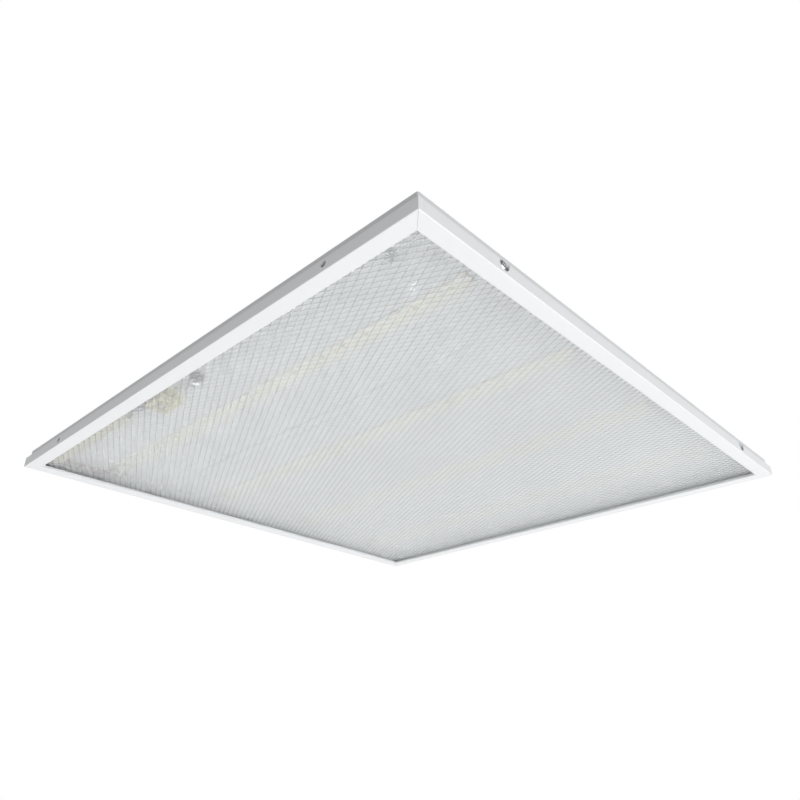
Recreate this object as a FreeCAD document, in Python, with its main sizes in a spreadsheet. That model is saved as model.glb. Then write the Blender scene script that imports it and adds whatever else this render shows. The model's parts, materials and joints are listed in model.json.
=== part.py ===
"""Recessed square panel light: steel tray, slotted bezel rails, prismatic lens and LED strips."""
import FreeCAD
import Part
import Sketcher
import math
import os

DOC = FreeCAD.newDocument("PanelLight")
SHEET = DOC.addObject("Spreadsheet::Sheet", "Sizes")
VECTOR = FreeCAD.Vector


class Dim:
    """A length that carries both its value and the sheet expression it comes from."""

    def __init__(self, value, text):
        self.value = float(value)
        self.text = text

    @staticmethod
    def of(item):
        return item if isinstance(item, Dim) else Dim(item, repr(float(item)))

    def __add__(self, other):
        other = Dim.of(other)
        return Dim(self.value + other.value, f"({self.text} + {other.text})")

    def __sub__(self, other):
        other = Dim.of(other)
        return Dim(self.value - other.value, f"({self.text} - {other.text})")

    def __mul__(self, other):
        other = Dim.of(other)
        return Dim(self.value * other.value, f"({self.text} * {other.text})")

    def __truediv__(self, other):
        other = Dim.of(other)
        return Dim(self.value / other.value, f"({self.text} / {other.text})")

    def __neg__(self):
        return Dim(-self.value, f"(0 - {self.text})")

    __radd__ = __add__
    __rmul__ = __mul__

    def __rsub__(self, other):
        return Dim.of(other) - self


class Sizes:
    """Named sizes of the light, kept in the sheet that drives every feature."""

    rows = 0

    @classmethod
    def add(cls, name, value, note):
        cls.rows += 1
        SHEET.set(f"A{cls.rows}", name)
        SHEET.set(f"B{cls.rows}", repr(float(value)))
        SHEET.set(f"C{cls.rows}", note)
        SHEET.setAlias(f"B{cls.rows}", name)
        return Dim(value, f"Sizes.{name}")


side = Sizes.add("outer_side", 595, "outer side of the bezel")
depth = Sizes.add("overall_depth", 19, "bezel face to the tray's back face")
bezel = Sizes.add("bezel_width", 14, "visible width of the bezel face")
rise = Sizes.add("rail_rise", 10.8, "height of a rail's outer wall")
skin = Sizes.add("rail_skin", 1.2, "wall of a rail")
seat = Sizes.add("lens_seat", 3, "height of the lip that the lens lies on")
web_rise = Sizes.add("web_rise", 12.4, "height of a rail's inner web")
inset = Sizes.add("tray_inset", 3, "tray wall set back from the rail's outer face")
sheet_skin = Sizes.add("tray_skin", 0.6, "steel sheet of the tray")
slip = Sizes.add("slip_gap", 0.15, "running gap between tray wall and rail web")
lens_play = Sizes.add("lens_play", 0.6, "room between the lens and the rails' webs")
lens_skin = Sizes.add("lens_skin", 2, "thickness of the lens")
fix_reach = Sizes.add("fixing_reach", 210, "side fixings from the middle of a side")
screw_level = Sizes.add("screw_level", 8.6, "height of the side screws")
notch = Sizes.add("notch_radius", 5.5, "clearance notch round a screw head")
shank = Sizes.add("shank_radius", 2, "side screw shank")
head = Sizes.add("head_radius", 4.1, "side screw head")
vent_level = Sizes.add("vent_level", 6.2, "height of the plain side holes")
vent = Sizes.add("vent_radius", 2.75, "plain side hole")
strip_edge = Sizes.add("strip_edge", 92.5, "first LED strip from the bezel's outer face")
strip_wide = Sizes.add("strip_width", 13, "width of an LED strip")
strip_end = Sizes.add("strip_end", 32.5, "end of an LED strip from the bezel's outer face")
board = Sizes.add("board_skin", 1, "circuit board thickness")
chip_end = Sizes.add("chip_end", 18, "outermost LED from the end of its strip")
chip_count = Sizes.add("chip_number", 28, "LEDs on one strip")
case_long = Sizes.add("driver_length", 166, "driver length")
case_wide = Sizes.add("driver_width", 25, "driver width")
case_high = Sizes.add("driver_height", 11, "driver height")
lead = Sizes.add("lead_radius", 0.8, "insulated lead")
cable_bore = Sizes.add("cable_bore", 3.7, "bore of the cable grommet")
DOC.recompute()

half = side / 2
tray_half = half - inset
roof = depth - sheet_skin
web_out = inset + sheet_skin + slip
board_low = roof - board
strip_step = (side - strip_edge * 2) / 3
strip_long = side - strip_end * 2
chip_run = strip_long - chip_end * 2


def bind(item, **values):
    """Set properties and tie them to the sheet."""
    for name, value in values.items():
        value = Dim.of(value)
        setattr(item, name, value.value)
        item.setExpression(name, value.text)


def place(item, x=0, y=0, z=0, turn=0, axis=(0, 0, 1)):
    """Give a piece its placement, tied to the sheet."""
    spots = [Dim.of(value) for value in (x, y, z)]
    spin = FreeCAD.Rotation(VECTOR(*axis), turn)
    item.Placement = FreeCAD.Placement(VECTOR(*[spot.value for spot in spots]), spin)
    for letter, spot in zip("xyz", spots):
        item.setExpression(f"Placement.Base.{letter}", spot.text)


class Profile:
    """A fully constrained sketch on one of a body's origin planes."""

    def __init__(self, body, role, offset=0):
        self.sketch = body.newObject("Sketcher::SketchObject", body.Name + "_sketch")
        planes = {item.Role: item for item in body.Origin.OriginFeatures}
        self.sketch.AttachmentSupport = [(planes[role], "")]
        self.sketch.MapMode = "FlatFace"
        offset = Dim.of(offset)
        self.sketch.AttachmentOffset = FreeCAD.Placement(
            VECTOR(0, 0, offset.value), FreeCAD.Rotation())
        self.sketch.setExpression("AttachmentOffset.Base.z", offset.text)
        self.rank = 0

    def hold(self, *parts, value):
        """Add a dimension tied to the sheet."""
        value = Dim.of(value)
        index = self.sketch.addConstraint(Sketcher.Constraint(*parts, value.value))
        self.rank += 1
        name = f"size{self.rank}"
        self.sketch.renameConstraint(index, name)
        self.sketch.setExpression(f"Constraints.{name}", value.text)

    def pin(self, shape, end, x, y):
        self.hold("DistanceX", -1, 1, shape, end, value=x)
        self.hold("DistanceY", -1, 1, shape, end, value=y)

    def join(self, *ends):
        self.sketch.addConstraint(Sketcher.Constraint("Coincident", *ends))

    def line(self, start, end):
        points = [VECTOR(Dim.of(x).value, Dim.of(y).value, 0) for x, y in (start, end)]
        return self.sketch.addGeometry(Part.LineSegment(*points))

    def polygon(self, *points):
        """Closed outline through the points."""
        count = len(points)
        first = [self.line(points[i], points[(i + 1) % count]) for i in range(count)][0]
        for index in range(count):
            self.join(first + index, 2, first + (index + 1) % count, 1)
            self.pin(first + index, 1, *points[index])
        return self

    def block(self, x0, y0, x1, y1):
        return self.polygon((x0, y0), (x1, y0), (x1, y1), (x0, y1))

    def circle(self, x, y, radius):
        x, y, radius = Dim.of(x), Dim.of(y), Dim.of(radius)
        ring = Part.Circle(VECTOR(x.value, y.value, 0), VECTOR(0, 0, 1), radius.value)
        shape = self.sketch.addGeometry(ring)
        self.pin(shape, 3, x, y)
        self.hold("Radius", shape, value=radius)
        return self

    def facet(self, x, y, radius, sides=8):
        """Regular outline with flats up, down, left and right."""
        turn = math.pi / sides
        corners = [(math.cos(turn * (2 * i + 1)), math.sin(turn * (2 * i + 1)))
                   for i in range(sides)]
        return self.polygon(*[(Dim.of(x) + Dim.of(radius) * round(a, 5),
                               Dim.of(y) + Dim.of(radius) * round(b, 5)) for a, b in corners])

    def cradle(self, x, y, radius, top):
        """U outline: straight sides from the top down to a half circle round x, y."""
        x, y, radius = Dim.of(x), Dim.of(y), Dim.of(radius)
        left, right = (x - radius, top), (x + radius, top)
        down = self.line(left, (x - radius, y))
        bow = self.sketch.addGeometry(Part.ArcOfCircle(
            Part.Circle(VECTOR(x.value, y.value, 0), VECTOR(0, 0, 1), radius.value),
            math.pi, math.pi * 2))
        up = self.line((x + radius, y), right)
        lid = self.line(right, left)
        self.pin(down, 1, *left)
        self.pin(down, 2, x - radius, y)
        self.pin(up, 1, x + radius, y)
        self.pin(up, 2, *right)
        self.hold("DistanceY", -1, 1, bow, 3, value=y)
        self.join(down, 2, bow, 1)
        self.join(bow, 2, up, 1)
        self.join(up, 2, lid, 1)
        self.join(lid, 2, down, 1)
        return self

    def route(self, points, radius):
        """Open run of straight lines square to each other, joined by quarter bends."""
        radius = Dim.of(radius)
        spots = [(Dim.of(x), Dim.of(y)) for x, y in points]
        steps = []
        for (x0, y0), (x1, y1) in zip(spots, spots[1:]):
            run = (x1.value - x0.value, y1.value - y0.value)
            size = abs(run[0]) + abs(run[1])
            steps.append((run[0] / size, run[1] / size))
        last = len(spots) - 2
        lines = []
        for index, (dx, dy) in enumerate(steps):
            (x0, y0), (x1, y1) = spots[index], spots[index + 1]
            lead_in = 0 if index == 0 else 1
            lead_out = 0 if index == last else 1
            start = (x0 + radius * (dx * lead_in), y0 + radius * (dy * lead_in))
            end = (x1 - radius * (dx * lead_out), y1 - radius * (dy * lead_out))
            shape = self.line(start, end)
            self.pin(shape, 1, *start)
            self.pin(shape, 2, *end)
            lines.append(shape)
        for index in range(last):
            (x, y), (ax, ay), (bx, by) = spots[index + 1], steps[index], steps[index + 1]
            reach = radius.value
            start = VECTOR(x.value - ax * reach, y.value - ay * reach, 0)
            end = VECTOR(x.value + bx * reach, y.value + by * reach, 0)
            centre = start + VECTOR(bx, by, 0) * reach
            way = -(centre - VECTOR(x.value, y.value, 0))
            middle = centre + way.normalize() * reach
            bend = self.sketch.addGeometry(Part.Arc(start, middle, end))
            turn_left = ax * by - ay * bx > 0
            first, second = (1, 2) if turn_left else (2, 1)
            self.join(bend, first, lines[index], 2)
            self.join(bend, second, lines[index + 1], 1)
            self.hold("Radius", bend, value=radius)
        return self


class Piece:
    """One physical piece: a body whose features are added in order."""

    made = []

    def __init__(self, name, **spot):
        self.body = DOC.addObject("PartDesign::Body", name)
        self.body.Label = name
        place(self.body, **spot)
        Piece.made.append(self.body)
        self.axes = {item.Role: item for item in self.body.Origin.OriginFeatures}

    def draw(self, role, offset=0):
        return Profile(self.body, role, offset)

    def feature(self, kind, profile, **values):
        item = self.body.newObject(f"PartDesign::{kind}", f"{self.body.Name}_{kind.lower()}")
        item.Profile = profile.sketch
        profile.sketch.Visibility = False
        for name, value in values.items():
            if isinstance(value, (Dim, float, int)) and not isinstance(value, bool):
                bind(item, **{name: value})
            else:
                setattr(item, name, value)
        return item

    def pad(self, profile, length, **values):
        return self.feature("Pad", profile, Length=length, **values)

    def cut(self, profile, length=None, **values):
        if length is None:
            return self.feature("Pocket", profile, Type="ThroughAll", SideType="Symmetric", **values)
        return self.feature("Pocket", profile, Length=length, **values)

    def spin(self, profile, axis="Z_Axis"):
        return self.feature("Revolution", profile, ReferenceAxis=(self.axes[axis], [""]), Angle=360)

    def tube(self, path, profile):
        item = self.body.newObject("PartDesign::AdditivePipe", self.body.Name + "_pipe")
        item.Profile = profile.sketch
        item.Spine = (path.sketch, [])
        path.sketch.Visibility = False
        profile.sketch.Visibility = False
        return item

    def mirror(self, features, plane):
        item = self.body.newObject("PartDesign::Mirrored", self.body.Name + "_mirror")
        item.Originals = features
        item.MirrorPlane = (self.axes[plane], [""])
        self.body.Tip = item
        return item

    def repeat(self, features, axis, length, count, second=None):
        """Linear pattern along one axis, or over two."""
        item = self.body.newObject("PartDesign::LinearPattern", self.body.Name + "_pattern")
        item.Originals = features
        item.Direction = (self.axes[axis], [""])
        bind(item, Length=length)
        item.Occurrences = int(Dim.of(count).value)
        item.setExpression("Occurrences", Dim.of(count).text)
        if second is not None:
            item.Direction2 = (self.axes[second[0]], [""])
            bind(item, Length2=second[1])
            item.Occurrences2 = second[2]
        self.body.Tip = item
        return item


# Bezel rails -----------------------------------------------------------------------------------
# Each rail is drawn as the front one, then turned. Its section is an open channel: outer wall,
# face, inner web behind the tray wall, and a lip that the lens lies on.

mitre = half + 1


def rail(name, turn, slotted):
    """One mitred rail."""
    piece = Piece(name, turn=turn)
    face, back = -half, -half + bezel
    web_face = -half + web_out
    section = piece.draw("YZ_Plane").polygon(
        (face, 0), (back, 0), (back, seat), (back - skin, seat), (back - skin, skin),
        (web_face + skin, skin), (web_face + skin, web_rise), (web_face, web_rise),
        (web_face, skin), (face + skin, skin), (face + skin, rise), (face, rise))
    piece.pad(section, side, SideType="Symmetric")
    reach = half - bezel - 1
    ends = piece.draw("XY_Plane")
    for sign in (1, -1):
        ends.polygon((half * sign, -half), (mitre * sign, -half), (mitre * sign, -reach),
                     (reach * sign, -reach))
    piece.cut(ends)
    if slotted:
        head_way = piece.draw("XZ_Plane", half).cradle(fix_reach, screw_level, notch, web_rise + 1)
        shank_way = piece.draw("XZ_Plane", half - web_out + 0.5)
        shank_way.cradle(fix_reach, screw_level, shank + 0.3, web_rise + 1)
        wide = piece.cut(head_way, skin + 0.5)
        slim = piece.cut(shank_way, skin + 1)
        piece.mirror([wide, slim], "YZ_Plane")
        relief = piece.draw("XZ_Plane", half)
        for sign in (1, -1):
            relief.block((half - 5.1) * sign, skin, mitre * sign, web_rise + 1)
        piece.cut(relief, skin)
    else:
        hole = piece.draw("XZ_Plane", half + 1).circle(fix_reach, vent_level, vent)
        piece.mirror([piece.cut(hole, web_out + skin + 2)], "YZ_Plane")
        tabs = piece.draw("XY_Plane", skin)
        for sign in (1, -1):
            tabs.block((half - skin) * sign, -half, half * sign, -half + 5)
        piece.pad(tabs, rise - skin)
    return piece


rail("bezel_rail_front", 0, True)
rail("bezel_rail_rear", 180, True)
rail("bezel_rail_left", 270, False)
rail("bezel_rail_right", 90, False)

# Corner keys lie in the channel between the web and the lip.
key_out = half - web_out - skin - 0.1
key_in = half - bezel + skin + 0.1
for number, turn in enumerate((0, 90, 180, 270), 1):
    key = Piece(f"corner_key_{number}", turn=turn)
    angle = key.draw("XY_Plane", skin).polygon(
        (-key_out, -key_out), (-key_out + 38, -key_out), (-key_out + 38, -key_in),
        (-key_in, -key_in), (-key_in, -key_out + 38), (-key_out, -key_out + 38))
    key.pad(angle, 1.2)

# The lens lies on the lips. Its prisms run over the lower face inside the bezel.
lens = Piece("diffuser")
lens_half = half - web_out - skin - lens_play
lens.pad(lens.draw("XY_Plane", seat).block(-lens_half, -lens_half, lens_half, lens_half), lens_skin)

# Tray --------------------------------------------------------------------------------------------
tray = Piece("tray")
tray.pad(tray.draw("XY_Plane", skin).block(-tray_half, -tray_half, tray_half, tray_half),
         depth - skin)
tray_in = tray_half - sheet_skin
tray.cut(tray.draw("XY_Plane", skin).block(-tray_in, -tray_in, tray_in, tray_in),
         roof - skin, Reversed=True)

bead_wide, bead_long, bead_high = 6, half - 97.5, 1.2


def bead(profile, x, grow):
    """Long bead outline with clipped ends."""
    wide, end = bead_wide + grow, bead_long + grow
    return profile.polygon((x - wide, -end), (x - 3, -end - 6), (x + 3, -end - 6), (x + wide, -end),
                           (x + wide, end), (x + 3, end + 6), (x - 3, end + 6), (x - wide, end))


raised = tray.pad(bead(tray.draw("XY_Plane", depth), -strip_step, sheet_skin.value), bead_high)
hollow = tray.cut(bead(tray.draw("XY_Plane", roof), -strip_step, 0), bead_high, Reversed=True)
tray.repeat([raised, hollow], "X_Axis", strip_step * 2, 3)

strip_first = -strip_step * 1.5
rivet_reach = chip_run / 2 - chip_run / 2 / (chip_count - 1)
rivet_way = tray.cut(tray.draw("XY_Plane", depth).facet(strip_first, -rivet_reach, 1.7), 2)
tray.repeat([rivet_way], "X_Axis", strip_step * 3, 4, ("Y_Axis", rivet_reach * 2, 3))

# Positions of the mains end, in the strip of space beside the left wall.
case_left = -half + inset + 3.2
case_right = case_left + case_wide
case_mid = case_left + case_wide / 2
case_end = half - 19.5
case_start = case_end - case_long
block_mid_x = -half + 35.5
block_end = case_start - 31
block_start = block_end - 32
grommet_x, grommet_y = block_mid_x, block_start - 43
clamp_y = block_start - 17
stud_x, stud_y = -half + 33.5, -half + 55.5
hanger_reach = half - 67.5

holes = tray.draw("XY_Plane", depth)
holes.circle(grommet_x, grommet_y, cable_bore + 2)
holes.facet(block_mid_x, block_start + 16, 1.65)
holes.facet(grommet_x - 9, clamp_y, 1.65).facet(grommet_x + 9, clamp_y, 1.65)
holes.circle(stud_x, stud_y, 2)
holes.facet(case_mid, case_start - 5, 1.65).facet(case_mid, case_end + 5, 1.65)
tray.cut(holes, 3)
hangers = tray.cut(tray.draw("XY_Plane", depth).circle(-hanger_reach, -hanger_reach, 2.25), 3)
tray.repeat([hangers], "X_Axis", hanger_reach * 2, 2, ("Y_Axis", hanger_reach * 2, 2))

screw_way = tray.draw("XZ_Plane")
screw_way.circle(fix_reach, screw_level, shank + 0.05).circle(-fix_reach, screw_level, shank + 0.05)
tray.cut(screw_way)
vent_way = tray.draw("YZ_Plane")
vent_way.circle(fix_reach, vent_level, vent).circle(-fix_reach, vent_level, vent)
tray.cut(vent_way)

# LED strips ----------------------------------------------------------------------------------------
strip_half = strip_long / 2
for number in range(4):
    x = strip_first + strip_step * number
    strip = Piece(f"led_strip_{number + 1}", x=x)
    strip.pad(strip.draw("XY_Plane", board_low).block(
        -strip_wide / 2, -strip_half, strip_wide / 2, strip_half), board)
    hole = strip.cut(strip.draw("XY_Plane", roof).facet(0, -rivet_reach, 1.7), board + 1)
    strip.repeat([hole], "Y_Axis", rivet_reach * 2, 3)
    chips = Piece(f"led_chips_{number + 1}", x=x)
    chip = chips.pad(chips.draw("XY_Plane", board_low - 0.7).block(
        -1.4, -chip_run / 2 - 1.75, 1.4, -chip_run / 2 + 1.75), 0.7)
    chips.repeat([chip], "Y_Axis", chip_run, chip_count)



def turned(piece, x, y, *steps):
    """Small eight-sided fastener, padded in steps of (low, high, radius)."""
    return [piece.pad(piece.draw("XY_Plane", low).facet(x, y, radius), Dim.of(high) - low)
            for low, high, radius in steps]


rivets = Piece("strip_rivets", x=strip_first, y=-rivet_reach)
plug = turned(rivets, 0, 0, (board_low - 0.9, board_low, 2.7), (board_low, depth, 1.65),
              (depth, depth + 0.9, 2.2))
rivets.repeat(plug, "X_Axis", strip_step * 3, 4, ("Y_Axis", rivet_reach * 2, 3))

socket_y = strip_half - 9
sockets = Piece("strip_sockets", x=strip_first, y=socket_y)
body_part = sockets.pad(sockets.draw("XY_Plane", board_low - 3.4).polygon(
    (-5.5, -5), (-4.5, -6), (4.5, -6), (5.5, -5), (5.5, 6), (-5.5, 6)), 3.4)
slots = sockets.draw("XZ_Plane", -6)
for lane in (-4.2, -1.6, 1.6, 4.2):
    slots.block(Dim.of(lane) - lead - 0.05, board_low - 1.75 - lead,
                Dim.of(lane) + lead + 0.05, board_low - 1.65 + lead)
slots_cut = sockets.cut(slots, 3, Reversed=True)
sockets.repeat([body_part, slots_cut], "X_Axis", strip_step * 3, 4)

# Leads -------------------------------------------------------------------------------------------------
lead_level = board_low - 1.7


def leads(name, runs, radius, level=lead_level):
    """Insulated leads that lie level, each swept along its run from a start along Y."""
    piece = Piece(name, z=level)
    for points in runs:
        start_x, start_y = points[0]
        path = piece.draw("XY_Plane").route(points, radius)
        ring = piece.draw("XZ_Plane", -Dim.of(start_y)).facet(start_x, 0, lead, 6)
        piece.tube(path, ring)
    return piece


def loop(left, right, start, far):
    return [(left, start), (left, far), (right, far), (right, start)]


lead_start = socket_y + 4.5
for number in range(3):
    left = strip_first + strip_step * number
    right = left + strip_step
    leads(f"jumper_leads_{number + 1}",
          [loop(left + 1.6, right - 1.6, lead_start, strip_half + 15),
           loop(left + 4.2, right - 4.2, lead_start, strip_half + 12.4)], 7)

for name, lane, far, target in (("output_lead_positive", -4.2, 19, 3.2),
                                ("output_lead_negative", -1.6, 21.6, 5.9)):
    begin, finish = strip_first + lane, case_right - target
    leads(name, [[(begin, lead_start), (begin, strip_half + far), (finish, strip_half + far),
                  (finish, case_end)]], 3.5)

# Driver ---------------------------------------------------------------------------------------------------
case_low = roof - case_high
case = Piece("driver_case", y=case_start)
case.pad(case.draw("XZ_Plane").polygon(
    (case_left, roof), (case_left, case_low + 2.5), (case_left + 1, case_low + 2.5),
    (case_right - 1, case_low + 2.5), (case_right, case_low + 4), (case_right, roof)),
    case_long, Reversed=True)
ears = case.draw("XY_Plane", roof - 1.6)
ears.block(case_mid - 6, -9, case_mid + 6, 1)
ears.block(case_mid - 6, case_long - 1, case_mid + 6, case_long + 9)
case.pad(ears, 1.6)
ear_holes = case.draw("XY_Plane", roof).facet(case_mid, -5, 1.65)
case.cut(ear_holes.facet(case_mid, case_long + 5, 1.65), 2)

cover = Piece("driver_lid", y=case_start)
cover.pad(cover.draw("XZ_Plane").polygon(
    (case_left, case_low + 2.5), (case_left, case_low + 0.8), (case_left + 0.8, case_low),
    (case_right - 2.2, case_low), (case_right - 1, case_low + 2.5)), case_long, Reversed=True)
notch_cut = cover.cut(cover.draw("XY_Plane", case_low).block(case_mid - 8, 6, case_mid + 8, 7.5),
                      0.6, Reversed=True)
cover.repeat([notch_cut], "Y_Axis", 9, 4)


def small_screw(name, x, y, base, second):
    """Two pan head sheet metal screws, driven up into the tray."""
    piece = Piece(name, x=x, y=y)
    shape = turned(piece, 0, 0, (base - 2, base - 1.2, 1.8), (base - 1.2, base, 2.8),
                   (base, depth + 1.6, 1.6))
    drive = piece.cut(piece.draw("XY_Plane", base - 2).block(-1.4, -0.35, 1.4, 0.35), 1,
                      Reversed=True)
    cross = piece.cut(piece.draw("XY_Plane", base - 2).block(-0.35, -1.4, 0.35, 1.4), 1,
                      Reversed=True)
    axis, gap = second
    piece.repeat(shape + [drive, cross], axis, gap, 2)
    return piece


small_screw("driver_screws", case_mid, case_start - 5, roof - 1.6, ("Y_Axis", case_long + 10))

# Mains terminal block ------------------------------------------------------------------------------------
block_low = roof - 10
supply_level = roof - 4
block = Piece("terminal_block", x=block_mid_x)
block.pad(block.draw("YZ_Plane").polygon(
    (block_start, roof), (block_start, block_low + 3), (block_start + 4, block_low),
    (block_end - 4, block_low), (block_end, block_low + 3), (block_end, roof)),
    24, SideType="Symmetric")
lanes = block.cut(block.draw("XY_Plane", block_low).block(-4.6, block_start - 1, -3.4, block_end + 1),
                  4, Reversed=True)
block.repeat([lanes], "X_Axis", 8, 2)
wells = block.draw("XY_Plane", block_low)
wells.facet(-8, block_start + 8, 2.3).facet(-8, block_end - 8, 2.3)
well_cut = block.cut(wells, 5.4, Reversed=True)
block.repeat([well_cut], "X_Axis", 16, 3)
entry = block.draw("XZ_Plane").facet(-8, supply_level, lead + 0.1, 6)
entry_cut = block.cut(entry)
block.repeat([entry_cut], "X_Axis", 16, 3)
block.cut(block.draw("XY_Plane", roof).facet(0, block_start + 16, 1.65))

clamps = Piece("terminal_screws", x=block_mid_x - 8, y=block_start + 8)
pin = turned(clamps, 0, 0, (block_low + 1.4, block_low + 3, 2.1),
             (block_low + 3, supply_level - lead, 1.4))
slit = clamps.cut(clamps.draw("XY_Plane", block_low + 1.4).block(-2.2, -0.3, 2.2, 0.3), 0.8,
                  Reversed=True)
clamps.repeat(pin + [slit], "X_Axis", 16, 3, ("Y_Axis", 16, 2))

block_screw = Piece("terminal_fixing", x=block_mid_x, y=block_start + 16)
turned(block_screw, 0, 0, (block_low - 1.8, block_low, 2.8), (block_low, depth + 1.2, 1.6))
block_screw.cut(block_screw.draw("XY_Plane", block_low - 1.8).block(-3, -0.35, 3, 0.35), 0.9,
                Reversed=True)

for name, lane, far, target in (("line_lead", -8, 9, -7.5), ("neutral_lead", 0, 13, 7.5)):
    begin, finish = block_mid_x + Dim.of(lane), case_mid + target
    leads(name, [[(begin, block_end - 12), (begin, block_end + far), (finish, block_end + far),
                  (finish, case_start)]], 3, supply_level)

# Earth stud, fixed through the tray near the front left corner ------------------------------------------
stud = Piece("earth_stud", x=stud_x, y=stud_y)
stud.spin(stud.draw("XZ_Plane").polygon(
    (0, roof - 8.4), (1.95, roof - 8.4), (1.95, depth), (3.6, depth), (3.6, depth + 1.2),
    (0, depth + 1.2)))
washer = Piece("earth_washer", x=stud_x, y=stud_y)
washer.spin(washer.draw("XZ_Plane").polygon(
    (2, roof - 0.8), (4.5, roof - 0.8), (4.5, roof), (2, roof)))
tag = Piece("earth_tag", x=stud_x, y=stud_y)
tag.pad(tag.draw("XY_Plane", roof - 1.6).circle(0, 0, 4), 0.8)
tag.pad(tag.draw("XY_Plane", roof - 1.6).block(-22, -1.5, -2, 1.5), 0.8)
tag.pad(tag.draw("XY_Plane", supply_level - 1).block(-22, -1.5, -18, 1.5), 4 - 0.6)
tag.cut(tag.draw("XY_Plane", roof).circle(0, 0, 2.05))


def hexagon(profile, flat):
    """Hexagon across its flats."""
    tip, rest = flat * 1.1547 / 2, flat * 1.1547 / 4
    return profile.polygon((tip, 0), (rest, flat / 2), (-rest, flat / 2), (-tip, 0),
                           (-rest, -flat / 2), (rest, -flat / 2))


nut = Piece("earth_nut", x=stud_x, y=stud_y)
nut.pad(hexagon(nut.draw("XY_Plane", roof - 4.8), 7).circle(0, 0, 2), 3.2)

bond_x = stud_x - 20
bond_turn = block_start - 8
leads("earth_lead", [[(bond_x, stud_y + 1.5), (bond_x, bond_turn), (block_mid_x + 8, bond_turn),
                      (block_mid_x + 8, block_start + 12)]], 4, supply_level)

# Cable entry: rubber grommet in the tray's back, and a clamp beside it ----------------------------------
seal = Piece("cable_grommet", x=grommet_x, y=grommet_y)
wall = cable_bore + 1.9
seal.spin(seal.draw("XZ_Plane").polygon(
    (cable_bore, roof - 2), (wall + 1.4, roof - 2), (wall + 2, roof), (wall, roof),
    (wall, depth), (wall + 2, depth), (wall + 1.2, depth + 1.6), (cable_bore, depth + 1.6)))

saddle = Piece("cable_clamp", x=grommet_x, y=clamp_y)
saddle.pad(saddle.draw("XZ_Plane").polygon(
    (-12.5, roof), (-12.5, roof - 2), (-6, roof - 2), (-4.5, roof - 8), (4.5, roof - 8),
    (6, roof - 2), (12.5, roof - 2), (12.5, roof), (5, roof), (3.2, roof - 6.4),
    (-3.2, roof - 6.4), (-5, roof)), 7, SideType="Symmetric")
saddle_holes = saddle.draw("XY_Plane", roof).facet(-9, 0, 1.65).facet(9, 0, 1.65)
saddle.cut(saddle_holes)
small_screw("clamp_screws", grommet_x - 9, clamp_y, roof - 2, ("X_Axis", 18))

# Side screws and their nuts -----------------------------------------------------------------------------
# Each screw seats on the tray wall inside the rail's notch and draws the rail's web against a nut.
seat_gap = 0.05
reach_in = web_out + skin + seat_gap
for number, (sign, along) in enumerate(((-1, -1), (-1, 1), (1, 1), (1, -1)), 1):
    turn = 0 if sign < 0 else 180
    screw = Piece(f"side_screw_{number}", x=fix_reach * along, y=half * sign, z=screw_level,
                  turn=turn)
    screw.spin(screw.draw("YZ_Plane").polygon(
        (inset - 2.5, 0), (inset - 2.3, head * 0.6), (inset - 1, head), (inset, head),
        (inset, shank), (reach_in + 4.4, shank), (reach_in + 4.4, 0)), "Y_Axis")
    recess = screw.draw("XZ_Plane", 2.6 - inset)
    recess.polygon((-2, -0.4), (-0.4, -0.4), (-0.4, -2), (0.4, -2), (0.4, -0.4), (2, -0.4),
                   (2, 0.4), (0.4, 0.4), (0.4, 2), (-0.4, 2), (-0.4, 0.4), (-2, 0.4))
    screw.cut(recess, 1.5)

nuts = Piece("side_nuts", x=-fix_reach, y=-half + reach_in, z=screw_level)
hexes = nuts.draw("XZ_Plane")
nut_block = nuts.pad(hexagon(hexes, 6.4).circle(0, 0, shank + 0.03), 3, Reversed=True)
far = nuts.draw("XZ_Plane", -(side - reach_in * 2))
far_block = nuts.pad(hexagon(far, 6.4).circle(0, 0, shank + 0.03), 3)
nuts.repeat([nut_block, far_block], "X_Axis", fix_reach * 2, 2)


DOC.recompute()
os.makedirs("parts", exist_ok=True)
for item in DOC.Objects:
    if "Invalid" in item.State or "Error" in item.State:
        raise RuntimeError(f"{item.Label} did not build: {item.State}")
for item in Piece.made:
    if item.Shape.isNull() or not item.Shape.isValid() or not item.Shape.Solids:
        raise RuntimeError(f"{item.Label} has no valid solid")
    item.Shape.exportStep(f"parts/{item.Label}.step")
print(len(Piece.made), "pieces")
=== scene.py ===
"""Looks of a recessed square panel light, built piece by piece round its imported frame."""

import json
import logging
import math
from dataclasses import dataclass
from enum import Enum
from typing import Any, Callable, Iterable, Sequence

import bmesh
import bpy
from mathutils import Matrix, Vector
from mathutils.geometry import tessellate_polygon

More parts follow.
